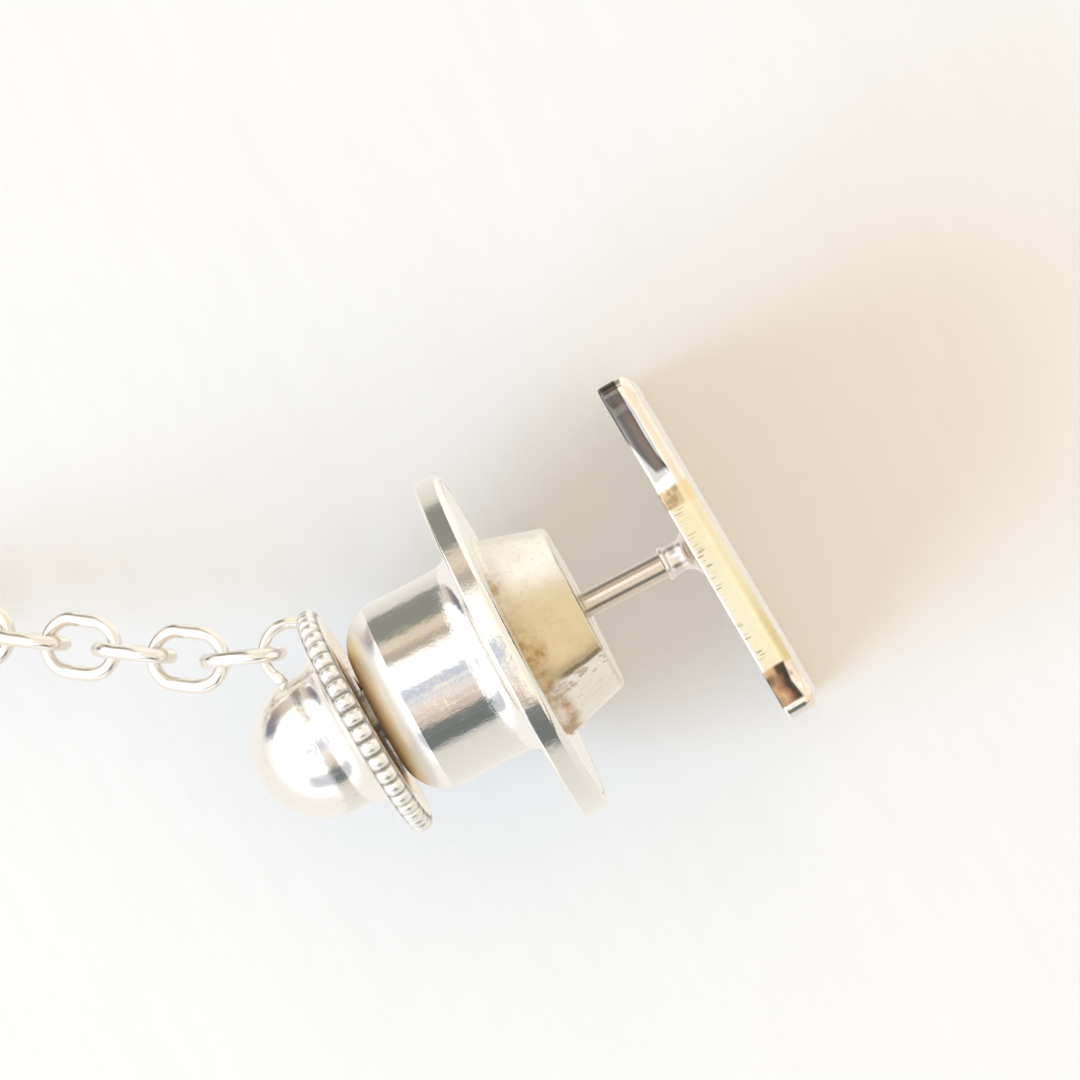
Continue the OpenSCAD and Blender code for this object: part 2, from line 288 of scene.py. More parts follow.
def make_shell_material():
    """Bright turned silver plate; the end that faces the knob is dull and carries a painted warm reflection and painted
    shade from the gap at the knob, with soil in the turned groove.
    """
    m, g, b = new_material("turned_silver")
    x, y, z = g.axis(0), g.axis(1), g.axis(2)
    r = g.math("SQRT", g.math("ADD", g.math("POWER", y, 2.0), g.math("POWER", z, 2.0)))
    drift = g.noise(g.scaled(420, 420, 420, (3.1, 1.7, 0.4)), 1.0, 4.0, 0.6)
    haze = g.noise(g.scaled(1100, 1100, 1100, (7.0, 0.3, 2.0)), 1.0, 4.0, 0.6)
    clean = g.mix(g.math("MULTIPLY", g.step(drift, 0.42, 0.72), 0.20), SILVER, WARM)
    rough = g.math("ADD", 0.085, g.math("MULTIPLY", g.math("SUBTRACT", haze, 0.5), 0.06))
    rough = g.math("ADD", rough, g.math("MULTIPLY", fine_scratches(g, (60.0, 5200.0, 5200.0)), 0.06))
    cloud = g.noise(g.scaled(900, 900, 900, (2.0, 7.0, 1.0)), 1.0, 4.0, 0.6)
    fine = g.noise(g.scaled(5200, 5200, 5200, (4.0, 0.0, 1.0)), 1.0, 3.0, 0.6)
    xj = g.math("ADD", x, g.math("MULTIPLY", g.math("SUBTRACT", cloud, 0.5), 0.22))
    # the amber at the barrel's end by the knob is a painted warm reflection of the gap, and is made less metallic
    end = g.math("SUBTRACT", 1.0, g.step(xj, S(-10.84), S(-10.36)))
    dull = g.math("SUBTRACT", 1.0, g.step(x, S(-10.20), S(-9.80)))
    col = g.mix(g.math("MULTIPLY", end, 0.85), clean, (0.96, 0.81, 0.56))
    # darker brown deeper in that gap, and less metallic: painted shade
    gap_shade = g.math("SUBTRACT", 1.0, g.step(xj, S(-10.86), S(-10.66)))
    gap_shade = g.math("MULTIPLY", gap_shade, g.maprange(g.math("SUBTRACT", cloud, g.math("MULTIPLY", y, 0.05)), 0.30, 0.55, 0.35, 1.0))
    col = g.mix(g.math("MULTIPLY", gap_shade, 0.85), col, (0.44, 0.29, 0.15))
    # soil in the groove inside the flange's shoulder, and a faint painted warm reflection of the nose on the face
    # around it
    face = g.step(x, S(-5.90) - 0.06, S(-5.90) - 0.02)
    groove = g.math("MULTIPLY", face, g.band(r, 5.34, 5.48, 0.03))
    groove = g.math("MULTIPLY", groove, g.step(cloud, 0.40, 0.55))
    col = g.mix(g.math("MULTIPLY", groove, 0.75), col, (0.20, 0.17, 0.13))
    # warm tint on the flange's face around the nose: painted reflection
    nose_reflection = g.math("MULTIPLY", face, g.math("SUBTRACT", 1.0, g.step(g.math("ADD", r, g.math("MULTIPLY", cloud, 1.2)), 4.1, 5.0)))
    col = g.mix(g.math("MULTIPLY", nose_reflection, 0.45), col, (0.86, 0.72, 0.50))
    g.link(col, b.inputs["Base Color"])
    g.link(g.math("SUBTRACT", 1.0, g.math("MAXIMUM", g.math("MULTIPLY", gap_shade, 0.8), g.math("MULTIPLY", end, 0.45))), b.inputs["Metallic"])
    smudge = g.step(g.noise(g.scaled(1300, 3000, 3000, (6.0, 2.0, 9.0)), 1.0, 4.0, 0.7), 0.50, 0.68)
    rr = g.math("ADD", rough, g.math("MULTIPLY", smudge, 0.07))
    rr = g.math("ADD", rr, g.math("MULTIPLY", dull, 0.30), clamp=True)
    g.link(rr, b.inputs["Roughness"])
    # surface: rings from turning, slow waves and a fine ripple that frays the edges of reflections
    slow = g.noise(g.scaled(650, 650, 650, (1.0, 4.0, 2.0)), 1.0, 2.0, 0.5)
    mid = g.noise(g.scaled(2600, 4200, 4200, (8.0, 4.0, 2.0)), 1.0, 3.0, 0.6)
    rings = g.noise(g.scaled(9000, 15, 15), 1.0, 2.0, 0.6)
    n = g.bump(slow, 1.0, 0.0000030)
    n = g.bump(mid, 1.0, 0.0000075, n)
    n = g.bump(rings, 1.0, 0.0000012, n)
    g.link(n, b.inputs["Normal"])
    return m


mat_shell = make_shell_material()


def make_nose_material():
    """Satin nickel with a painted warm reflection along its upper side and a painted dark reflection line below it,
    tarnish gathered at the root, fine specks and painted shade at the tip.
    """
    m, g, b = new_material("satin_nose")
    x, y, z = g.axis(0), g.axis(1), g.axis(2)
    root, tip = S(-5.70), S(-3.77)
    turn = g.math("MULTIPLY", g.math("ARCTAN2", g.math("MULTIPLY", y, -1.0), z), 180 / math.pi)
    cloud = g.noise(g.scaled(900, 900, 900, (2.0, 1.0, 8.0)), 1.0, 5.0, 0.62)
    slow = g.noise(g.scaled(420, 420, 420, (6.0, 1.0, 3.0)), 1.0, 3.0, 0.55)
    fine = g.noise(g.scaled(5200, 5200, 5200), 1.0, 3.0, 0.6)
    streak = g.noise(g.scaled(260, 2600, 2600, (4.0, 3.0, 0.0)), 1.0, 3.0, 0.6)
    shift = g.math("MULTIPLY", g.math("SUBTRACT", slow, 0.5), 34.0)
    tj = g.math("ADD", turn, shift)
    edge = g.math("ADD", turn, g.math("MULTIPLY", g.math("SUBTRACT", cloud, 0.5), 6.0))
    # the golden band along the upper side is a painted warm reflection
    warm_reflection_band = g.math("MULTIPLY", g.step(tj, -44.0, -2.0), g.math("SUBTRACT", 1.0, g.step(edge, 29.0, 33.0)))
    near_root = g.math("SUBTRACT", 1.0, g.step(g.math("ADD", x, g.math("MULTIPLY", g.math("SUBTRACT", cloud, 0.5), 1.1)), root + 0.05, root + 0.55))
    base = g.mix(g.step(cloud, 0.36, 0.68), (0.95, 0.93, 0.88), (0.91, 0.87, 0.79))
    base = g.mix(warm_reflection_band, base, g.mix(g.step(cloud, 0.34, 0.66), (0.80, 0.68, 0.47), (0.75, 0.62, 0.41)))
    # a thin dark line below that band, and flecks under it: painted dark reflection
    dark_reflection_line = g.math("MULTIPLY", g.band(edge, 29.0, 32.0, 0.9), g.step(g.math("ADD", x, g.math("MULTIPLY", cloud, 0.5)), root + 0.50, root + 0.85))
    reflection_flecks = g.math("MULTIPLY", g.band(edge, 32.5, 41.0, 1.5), g.step(g.noise(g.scaled(2600, 5200, 5200, (1.0, 8.0, 3.0)), 1.0, 3.0, 0.6), 0.52, 0.60))
    rust = g.mix(g.step(fine, 0.42, 0.62), (0.44, 0.28, 0.13), (0.66, 0.46, 0.26))
    side = g.math("MULTIPLY", g.step(tj, -60.0, -25.0), g.math("SUBTRACT", 1.0, g.step(tj, 75.0, 100.0)))
    patchy = g.maprange(g.noise(g.scaled(1500, 1100, 1100, (12.0, 3.0, 4.0)), 1.0, 3.0, 0.6), 0.42, 0.60, 0.28, 0.92)
    base = g.mix(g.math("MULTIPLY", g.math("MULTIPLY", near_root, side), patchy), base, rust)
    base = g.mix(g.math("MULTIPLY", dark_reflection_line, 0.80), base, (0.22, 0.17, 0.11))
    base = g.mix(g.math("MULTIPLY", reflection_flecks, 0.60), base, (0.40, 0.33, 0.24))
    base = g.mix(g.math("MULTIPLY", g.step(fine, 0.57, 0.72), 0.30), base, (0.52, 0.44, 0.32))
    base = g.mix(g.math("MULTIPLY", g.step(streak, 0.60, 0.75), 0.20), base, (0.62, 0.52, 0.38))
    # darker at the tip and its end face: painted shade
    end = g.step(x, tip - 0.16, tip - 0.03)
    base = g.mix(g.math("MULTIPLY", end, 0.6), base, (0.70, 0.64, 0.54))
    g.link(base, b.inputs["Base Color"])
    rough = g.math("ADD", 0.24, g.math("MULTIPLY", g.math("SUBTRACT", cloud, 0.5), 0.24))
    rough = g.math("ADD", rough, g.math("MULTIPLY", near_root, 0.15), clamp=True)
    g.link(rough, b.inputs["Roughness"])
    rings = g.noise(g.scaled(6500, 12, 12), 1.0, 3.0, 0.6)
    n = g.bump(rings, 1.0, 0.0000012)
    n = g.bump(fine, 1.0, 0.0000030, n)
    g.link(n, b.inputs["Normal"])
    return m


mat_nose = make_nose_material()


KNOB_CANT = math.radians(2.2)


def make_knob_material():
    """Bright polish on the dome; the milled beads are a little duller, with painted shade between them."""
    m, g, b = new_material("polished_knob")
    pivot = Vector((S(-11.05) * MM, 0, 0))
    back = Matrix.Rotation(-KNOB_CANT, 3, "Z")
    true = g.add("ShaderNodeMapping")
    true.inputs["Rotation"].default_value = (0, 0, -KNOB_CANT)
    true.inputs["Location"].default_value = pivot - back @ pivot
    g.link(g.coords(), true.inputs["Vector"])
    sep = g.add("ShaderNodeSeparateXYZ")
    g.link(true.outputs[0], sep.inputs[0])
    x = g.math("MULTIPLY", sep.outputs[0], 1000.0)
    r = g.math("MULTIPLY", g.math("SQRT", g.math("ADD", g.math("POWER", sep.outputs[1], 2.0), g.math("POWER", sep.outputs[2], 2.0))), 1000.0)
    drift = g.noise(g.scaled(420, 420, 420, (3.1, 1.7, 0.4)), 1.0, 4.0, 0.6)
    haze = g.noise(g.scaled(1500, 1500, 1500, (7.0, 0.3, 2.0)), 1.0, 4.0, 0.6)
    fine = g.noise(g.scaled(4200, 4200, 4200, (0.3, 2.2, 5.0)), 1.0, 3.0, 0.55)
    base = g.mix(g.math("MULTIPLY", g.step(drift, 0.42, 0.72), 0.35), SILVER, WARM)
    edge = g.math("MULTIPLY", g.step(r, 3.50, 3.54), g.band(x, S(-11.76) - 0.02, S(-11.05) + 0.02, 0.02))
    # darker in the gaps between the beads: painted shade
    bead_gap_shade = g.math("MULTIPLY", edge, g.math("SUBTRACT", 1.0, g.step(r, 3.58, 3.78)))
    base = g.mix(g.math("MULTIPLY", bead_gap_shade, 0.80), base, (0.26, 0.23, 0.19))
    base = g.mix(g.math("MULTIPLY", g.step(fine, 0.62, 0.74), 0.25), base, (0.55, 0.50, 0.42))
    # the far side of the brim, where it faces the barrel, carries a painted warm reflection of the gap
    face = g.step(x, S(-11.05) - 0.05, S(-11.05) - 0.01)
    face = g.math("MULTIPLY", face, g.math("SUBTRACT", 1.0, g.step(r, 2.7, 3.3)))
    base = g.mix(g.math("MULTIPLY", face, 0.75), base, (0.86, 0.66, 0.40))
    g.link(base, b.inputs["Base Color"])
    rough = g.math("ADD", 0.155, g.math("MULTIPLY", g.math("SUBTRACT", haze, 0.5), 0.10))
    rough = g.math("ADD", rough, g.math("MULTIPLY", edge, 0.12))
    rough = g.math("ADD", rough, g.math("MULTIPLY", fine_scratches(g, (1200, 5200, 90)), 0.06), clamp=True)
    g.link(rough, b.inputs["Roughness"])
    slow = g.noise(g.scaled(700, 700, 700, (1.0, 4.0, 2.0)), 1.0, 2.0, 0.5)
    mid = g.noise(g.scaled(1500, 1500, 1500, (8.0, 4.0, 2.0)), 1.0, 3.0, 0.6)
    n = g.bump(slow, 1.0, 0.000022)
    n = g.bump(mid, 1.0, 0.000011, n)
    n = g.bump(fine, 1.0, 0.0000016, n)
    g.link(n, b.inputs["Normal"])
    return m


mat_knob = make_knob_material()


def make_plate_material():
    """Bright plate with a painted warm reflection at its front, gold wash on the middle of its upper edge, a painted
    dark reflection on that edge towards +Y, a painted highlight along its back edge, file ticks and a dark nick with
    oxide and painted shade.
    """
    m, g, b = new_material("polished_plate")
    x, y, z = g.axis(0), g.axis(1), g.axis(2)
    # t runs from the plate's back face, w along its width, both following its small turn about Z
    skew = math.radians(2.9)
    t = g.math("ADD", g.math("MULTIPLY", g.math("SUBTRACT", x, OX), math.cos(skew)), g.math("MULTIPLY", y, math.sin(skew)))
    w = g.math("SUBTRACT", g.math("MULTIPLY", y, math.cos(skew)), g.math("MULTIPLY", g.math("SUBTRACT", x, OX), math.sin(skew)))
    cloud = g.noise(g.scaled(500, 500, 500, (5.0, 2.0, 1.0)), 1.0, 4.0, 0.6)
    fine = g.noise(g.scaled(4200, 4200, 4200, (1.0, 2.0, 3.0)), 1.0, 3.0, 0.55)
    wave = g.noise(g.scaled(900, 900, 900, (9.0, 2.0, 7.0)), 1.0, 2.0, 0.5)
    wave = g.math("SUBTRACT", wave, 0.5)
    upper = g.step(z, 5.35, 5.50)
    wj = g.math("ADD", w, g.math("MULTIPLY", wave, 0.10))
    tj = g.math("ADD", t, g.math("MULTIPLY", wave, 0.10))
    gold = g.math("MULTIPLY", upper, g.band(wj, -4.28, 1.98, 0.06))
    red = g.math("MULTIPLY", upper, g.band(wj, 1.36, 1.96, 0.07))
    red = g.math("MULTIPLY", red, g.math("SUBTRACT", 1.0, g.step(tj, 0.58, 0.72)))
    front = g.step(tj, 0.66, 0.76)
    base = g.mix(g.math("MULTIPLY", g.step(cloud, 0.40, 0.70), 0.35), SILVER, (0.90, 0.82, 0.68))
    # the front face and its rounded edge are warmer: painted warm reflection
    base = g.mix(front, base, g.mix(g.step(cloud, 0.40, 0.62), (0.98, 0.91, 0.81), (0.97, 0.86, 0.73)))
    # the hand-finished stretch towards +Y: a painted dark reflection, with a reddish streak, running out to a point
    lowend = g.maprange(wj, 2.38, 4.2, 0.32, -0.10)
    dark_facet_reflection = g.math("MULTIPLY", upper, g.math("MULTIPLY", g.step(wj, 2.42, 2.60), g.step(g.math("SUBTRACT", tj, lowend), -0.05, 0.06)))
    far_t = g.maprange(wj, 2.4, 3.0, 0.70, 0.60)
    dark_facet_reflection = g.math("MULTIPLY", dark_facet_reflection, g.math("SUBTRACT", 1.0, g.step(g.math("SUBTRACT", tj, far_t), -0.04, 0.03)))
    smear = g.noise(g.scaled(2600, 260, 260, (3.0, 8.0, 1.0)), 1.0, 4.0, 0.6)
    tone = g.ramp(g.maprange(g.math("ADD", tj, g.math("MULTIPLY", g.math("SUBTRACT", smear, 0.5), 0.16)), 0.0, 0.68, 0, 1),
                  [(0.0, (0.12, 0.115, 0.11)), (0.12, (0.30, 0.29, 0.27)), (0.34, (0.17, 0.16, 0.15)), (0.52, (0.27, 0.22, 0.19)),
                   (0.70, (0.30, 0.205, 0.155)), (0.84, (0.14, 0.11, 0.095)), (0.94, (0.045, 0.038, 0.034)), (1.0, (0.07, 0.06, 0.05))])
    top = g.step(wj, 4.1, 4.8)
    tone = g.mix(g.math("MULTIPLY", top, 0.65), tone, (0.14, 0.13, 0.125))
    base = g.mix(g.math("MULTIPLY", dark_facet_reflection, 0.96), base, tone)
    goldc = g.mix(g.step(cloud, 0.36, 0.66), (0.985, 0.935, 0.73), (0.965, 0.87, 0.62))
    # towards the front the gold turns deeper orange: painted warm reflection
    goldc = g.mix(g.step(tj, 0.66, 0.86), goldc, g.mix(g.step(wj, -3.6, -1.0), (0.80, 0.68, 0.42), (0.94, 0.86, 0.66)))
    # a bright line along the back edge: painted highlight
    glint = g.math("SUBTRACT", 1.0, g.step(tj, 0.06, 0.20))
    goldc = g.mix(g.math("MULTIPLY", glint, 0.8), goldc, (0.99, 0.97, 0.90))
    base = g.mix(gold, base, goldc)
    amber = g.math("MULTIPLY", upper, g.math("MULTIPLY", g.band(wj, 1.30, 1.96, 0.07), g.step(tj, 0.60, 0.72)))
    base = g.mix(g.math("MULTIPLY", amber, 0.8), base, (0.94, 0.78, 0.50))
    base = g.mix(g.math("MULTIPLY", red, 0.9), base, g.mix(g.step(fine, 0.4, 0.6), (0.52, 0.34, 0.19), (0.74, 0.55, 0.34)))
    # short ticks across the edge, near its back half, where a file slipped
    gate = g.noise(g.scaled(60, 520, 60, (3.0, 0.5, 0.0)), 1.0, 1.0, 0.5)
    lines = g.noise(g.scaled(260, 13500, 40, (0.7, 1.3, 0.0)), 1.0, 1.0, 0.5)
    tick = g.math("MULTIPLY", g.step(lines, 0.54, 0.64), g.step(gate, 0.34, 0.50))
    tick = g.math("MULTIPLY", tick, g.math("MULTIPLY", upper, g.band(w, -3.9, 1.30, 0.15)))
    reach = g.noise(g.scaled(20, 4200, 20, (5.7, 1.3, 2.0)), 1.0, 1.0, 0.5)
    lowside = g.maprange(w, -0.4, 0.5, 0.30, 0.46)
    place = g.math("DIVIDE", g.math("ADD", t, g.math("MULTIPLY", g.math("SUBTRACT", reach, 0.5), 0.4)), lowside)
    tick = g.math("MULTIPLY", tick, g.band(place, 0.34, 1.0, 0.18))
    base = g.mix(g.math("MULTIPLY", tick, 0.62), base, (0.27, 0.23, 0.15))
    # oxide in the nick near the -Y end, partly painted shade: near black towards its front and along a black arch at
    # its edge; the lighter lip along one side is a painted highlight
    nick = g.math("MULTIPLY", upper, g.band(wj, -5.44, -4.22, 0.05))
    waist = g.math("MULTIPLY", g.math("ABSOLUTE", g.math("ADD", w, 4.85)), 0.16)
    nick = g.math("MULTIPLY", nick, g.math("SUBTRACT", 1.0, g.step(g.math("SUBTRACT", tj, waist), 0.60, 0.68)))
    mott = g.noise(g.scaled(2100, 2100, 2100, (7.0, 7.0, 1.0)), 1.0, 4.0, 0.62)
    shade = g.math("ADD", g.math("ADD", tj, g.math("MULTIPLY", g.math("SUBTRACT", mott, 0.5), 0.50)), g.math("MULTIPLY", g.math("SUBTRACT", waist, 0.05), -1.0))
    oxide = g.ramp(g.maprange(shade, 0.0, 0.64, 0, 1),
                   [(0.0, (0.16, 0.09, 0.05)), (0.12, (0.42, 0.24, 0.12)), (0.34, (0.58, 0.36, 0.20)), (0.55, (0.34, 0.17, 0.09)),
                    (0.74, (0.16, 0.075, 0.045)), (0.88, (0.035, 0.027, 0.022)), (1.0, (0.05, 0.04, 0.033))])
    lip_highlight = g.math("MULTIPLY", g.step(wj, -4.52, -4.34), g.math("SUBTRACT", 1.0, g.step(tj, 0.28, 0.40)))
    oxide = g.mix(g.math("MULTIPLY", lip_highlight, 0.85), oxide, (0.70, 0.50, 0.26))
    arch_shade = g.math("MULTIPLY", g.step(wj, -4.62, -4.44), g.step(tj, 0.34, 0.46))
    oxide = g.mix(g.math("MULTIPLY", arch_shade, 0.9), oxide, (0.045, 0.035, 0.028))
    base = g.mix(g.math("MULTIPLY", nick, 0.95), base, oxide)
    g.link(base, b.inputs["Base Color"])
    rough = g.math("ADD", 0.09, g.math("MULTIPLY", g.math("SUBTRACT", cloud, 0.5), 0.08))
    rough = g.math("ADD", rough, g.math("MULTIPLY", gold, 0.16))
    rough = g.math("ADD", rough, g.math("MULTIPLY", front, 0.10))
    rough = g.math("ADD", rough, g.math("MULTIPLY", g.math("MAXIMUM", tick, nick), 0.25), clamp=True)
    g.link(rough, b.inputs["Roughness"])
    brush = g.noise(g.scaled(200, 60, 5200, (0.0, 3.0, 0.0)), 1.0, 2.0, 0.6)
    n = g.bump(brush, 1.0, 0.0000006)
    n = g.bump(fine, 1.0, 0.0000008, n)
    n = g.bump(g.math("SUBTRACT", 1.0, tick), 1.0, 0.0000040, n)
    g.link(n, b.inputs["Normal"])
    return m


mat_plate = make_plate_material()


# ------------------------------------------------------------------ mesh helpers
def arc(cx, cr, rad, a0, a1, n=10):
    """Points (x, r) on an arc round (cx, cr); the angle runs from +x towards +r."""
    return [(cx + rad * math.cos(math.radians(a0 + (a1 - a0) * i / n)),
             cr + rad * math.sin(math.radians(a0 + (a1 - a0) * i / n))) for i in range(n + 1)]


def softened(pts, n=6):
    """A profile polyline of (x, r[, fillet radius]); corners with a radius become arcs, and the straights keep their ends."""
    out = []
    k = len(pts)
    for i, p in enumerate(pts):
        rad = p[2] if len(p) > 2 else 0.0
        if rad <= 0 or i in (0, k - 1):
            out.append((p[0], p[1]))
            continue
        a, b, c = (Vector(q[:2]) for q in (pts[i - 1], p, pts[i + 1]))
        u, v = (a - b).normalized(), (c - b).normalized()
        ang = math.acos(max(-1, min(1, u.dot(v))))
        if ang > math.pi - 1e-3:
            out.append((p[0], p[1]))
            continue
        cut = rad / math.tan(ang / 2)
        s, e = b + u * cut, b + v * cut
        mid = (u + v).normalized() * (rad / math.sin(ang / 2))
        centre = b + mid
        va, vb = s - centre, e - centre
        sweep = math.atan2(va.x * vb.y - va.y * vb.x, va.dot(vb))
        steps = max(3, int(n * abs(sweep) / (math.pi / 2) + 0.5))
        for j in range(steps + 1):
            t = sweep * j / steps
            out.append((centre.x + va.x * math.cos(t) - va.y * math.sin(t),
                        centre.y + va.x * math.sin(t) + va.y * math.cos(t)))
    return out


def link_object(name, bm, mat, body, replaced=(), weighted=True):
    bmesh.ops.recalc_face_normals(bm, faces=bm.faces)
    me = bpy.data.meshes.new(name)
    bm.to_mesh(me)
    bm.free()
    for p in me.polygons:
        p.use_smooth = True
    me.materials.append(mat)
    ob = bpy.data.objects.new(name, me)
    scene.collection.objects.link(ob)
    if weighted:
        w = ob.modifiers.new("weighted", "WEIGHTED_NORMAL")
        w.mode = "FACE_AREA"
        w.weight = 50
        w.keep_sharp = True
    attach(ob, body)
    if replaced:
        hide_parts(*replaced)
    return ob


def revolve(bm, profile, segs=128, closed=False, radial=None):
    """Turns a profile of (x, r) in mm about the X axis. radial(x, r, angle) may change r."""
    rings = []
    for x, r in profile:
        if r < 1e-6:
            rings.append([bm.verts.new((x * MM, 0, 0))])
            continue
        ring = []
        for j in range(segs):
            a = 2 * math.pi * j / segs
            rr = radial(x, r, a) if radial else r
            ring.append(bm.verts.new((x * MM, rr * math.cos(a) * MM, rr * math.sin(a) * MM)))
        rings.append(ring)
    pairs = list(zip(rings, rings[1:]))
    if closed:
        pairs.append((rings[-1], rings[0]))
    for a, b in pairs:
        if len(a) == 1 and len(b) == 1:
            continue
        for j in range(segs):
            k = (j + 1) % segs
            if len(a) == 1:
                bm.faces.new((a[0], b[k], b[j]))
            elif len(b) == 1:
                bm.faces.new((a[j], a[k], b[0]))
            else:
                bm.faces.new((a[j], a[k], b[k], b[j]))
    return rings


def dented(bm, amount, scale, seed):
    """Very small dents, so that no surface is mathematically perfect."""
    bm.normal_update()
    for v in bm.verts:
        p = Vector(v.co) / MM * scale + Vector((seed, seed * 0.37, seed * 1.7))
        v.co += v.normal * (noise.noise(p) * amount * MM)


# ------------------------------------------------------------------ clutch shell: barrel, fillet and flange
def make_shell():
    x_end, x_crease, x_floor = S(-10.90), S(-9.84), S(-10.18)
    x_fillet, x_flange, x_face = S(-7.40), S(-6.72), S(-5.90)
    R, F = 3.12, 5.75
    cap = (x_crease - x_end) / (math.sin(math.radians(75)) - math.sin(math.radians(15)))
    cx, cr = x_crease + cap * math.sin(math.radians(15)), R - cap * math.cos(math.radians(15))
    prof = [(x_end, 1.31), (x_end, 1.42), (x_end, cr + cap * math.cos(math.radians(75)) - 0.08)]
    prof += arc(cx, cr, cap, 165, 105, 16)
    prof += [(x_crease + 0.02, R - 0.001), (x_crease + 0.06, R), (x_crease + 0.5, R), (x_crease + 1.2, R), (x_fillet - 0.34, R), (x_fillet - 0.22, R + 0.003), (x_fillet - 0.10, R + 0.012)]
    prof += arc(x_fillet, R + 0.68, 0.66, -86, 0, 14)
    prof[-1] = (x_flange - 0.012, R + 0.68)
    # flange's barrel side with a fine step, then the rim
    prof += [(x_flange, 3.84), (x_flange + 0.012, 3.90), (x_flange + 0.015, 4.5), (x_flange + 0.005, 5.1), (x_flange, F - 0.12)]
    prof += arc(x_flange + 0.09, F - 0.09, 0.09, 180, 92, 6)
    prof += [(x_flange + 0.14, F - 0.001), (x_flange + 0.30, F), (x_flange + 0.46, F), (x_face - 0.30, F - 0.002)]
    prof += arc(x_face - 0.24, F - 0.24, 0.24, 86, 4, 9)
    # pin side: a turned groove inside the rim's shoulder, then the face
    prof += [(x_face - 0.002, F - 0.27), (x_face - 0.035, F - 0.30), (x_face - 0.042, F - 0.34), (x_face - 0.035, F - 0.38), (x_face - 0.003, F - 0.41),
             (x_face, F - 0.46), (x_face, 4.6), (x_face, 3.9), (x_face, 3.45), (x_face, 2.75), (x_face - 0.02, 2.72),
             (x_face - 0.4, 2.72), (x_floor + 0.5, 2.72), (x_floor + 0.1, 2.72), (x_floor + 0.02, 2.70), (x_floor, 2.62),
             (x_floor, 1.40), (x_floor - 0.02, 1.31), (x_floor - 0.08, 1.30), (x_end + 0.05, 1.30)]
    bm = bmesh.new()
    revolve(bm, prof, 192, closed=True)
    dented(bm, 0.0022, 0.9, 3.0)
    return link_object("clutch_shell_body", bm, mat_shell, "shell", ["clutch_shell"])


make_shell()


# ------------------------------------------------------------------ nose
def make_nose():
    xn, xr, xf = S(-3.77), S(-5.65), S(-5.90)
    s1 = S(-4.45) + 0.03
    xb = S(-7.45)
    prof = softened([
        (xn - 0.30, 0.5), (xn, 0.78, 0.06), (xn, 2.70, 0.13), (xr, 3.26, 0.05), (xr - 0.13, 3.30, 0.06), (xf + 0.02, 3.37, 0.02),
        (xf - 0.004, 3.39, 0.005), (xf - 0.004, 2.70, 0.002), (xb, 2.70, 0.04), (xb, 2.32, 0.04), (s1, 2.32, 0.05), (s1, 0.52, 0.02), (xn - 0.30, 0.5)], 8)
    prof = prof[:-1]
    # more rings along the cone so that its satin is even
    dense = []
    for a, b in zip(prof, prof[1:] + prof[:1]):
        dense.append(a)
        n = int(math.dist(a, b) / 0.35)
        for i in range(1, n):
            dense.append((a[0] + (b[0] - a[0]) * i / n, a[1] + (b[1] - a[1]) * i / n))
    bm = bmesh.new()
    revolve(bm, dense, 144, closed=True)
    dented(bm, 0.006, 0.8, 11.0)
    ob = link_object("clutch_nose", bm, mat_nose, "shell", ["nose_bushing"])
    return ob


make_nose()


# ------------------------------------------------------------------ knob: dome, flare and milled brim
BEADS = 44


